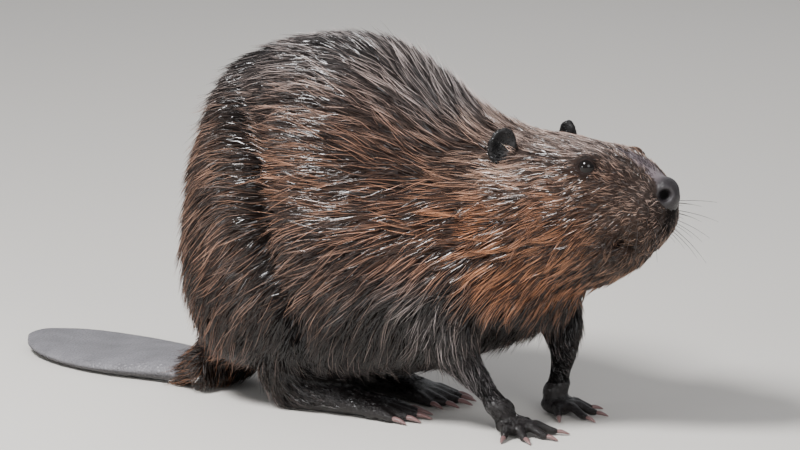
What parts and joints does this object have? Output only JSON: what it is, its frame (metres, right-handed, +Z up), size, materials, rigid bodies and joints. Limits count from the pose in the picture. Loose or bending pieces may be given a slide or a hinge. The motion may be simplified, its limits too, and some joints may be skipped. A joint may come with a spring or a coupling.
{
  "type": "beaver model",
  "caption": "Life-size still model of an adult beaver standing hunched on all fours, head turned slightly to its right, flat tail laid out behind.",
  "frame": {"origin": "on the ground at the middle of the model's bounding box", "axes": "+X forward along the body towards the head, +Y the animal's left, +Z up; the soles and the tail's underside lie on z = 0"},
  "size_m": [0.7888, 0.2449, 0.3832],
  "materials": {
    "fur_body": "wet guard hair, dark grey-brown over the back, reddish brown on the flanks",
    "fur_head": "wet orange-brown fur, darker on the muzzle",
    "fur_leg": "short wet blackish-brown fur",
    "foot_skin": "wet dark skin with fine folds",
    "scaly_skin": "scaly grey skin, half matte",
    "ear_skin": "thin black skin with very short fur",
    "nose_skin": "bare wet slate-grey skin",
    "claw": "horn, pinkish grey",
    "eye": "wet, nearly black"
  },
  "bodies": {
    "root": {"ear_left": "ear_skin", "ear_right": "ear_skin", "eye_left": "eye", "eye_right": "eye", "fore_claw_left_1": "claw", "fore_claw_left_2": "claw", "fore_claw_left_3": "claw", "fore_claw_left_4": "claw", "fore_claw_left_5": "claw", "fore_claw_right_1": "claw", "fore_claw_right_2": "claw", "fore_claw_right_3": "claw", "fore_claw_right_4": "claw", "fore_claw_right_5": "claw", "fore_foot_left": "foot_skin", "fore_foot_right": "foot_skin", "forearm_left": "fur_leg", "forearm_right": "fur_leg", "head": "fur_head", "hind_claw_left_1": "claw", "hind_claw_left_2": "claw", "hind_claw_left_3": "claw", "hind_claw_left_4": "claw", "hind_claw_left_5": "claw", "hind_claw_right_1": "claw", "hind_claw_right_2": "claw", "hind_claw_right_3": "claw", "hind_claw_right_4": "claw", "hind_claw_right_5": "claw", "hind_foot_left": "foot_skin", "hind_foot_right": "foot_skin", "jaw": "fur_head", "neck": "fur_head", "nose": "nose_skin", "tail_blade": "scaly_skin", "tail_root": "fur_body", "thigh_left": "fur_body", "thigh_right": "fur_body", "trunk": "fur_body", "upper_arm_left": "fur_body", "upper_arm_right": "fur_body"}
  },
  "joints": []
}
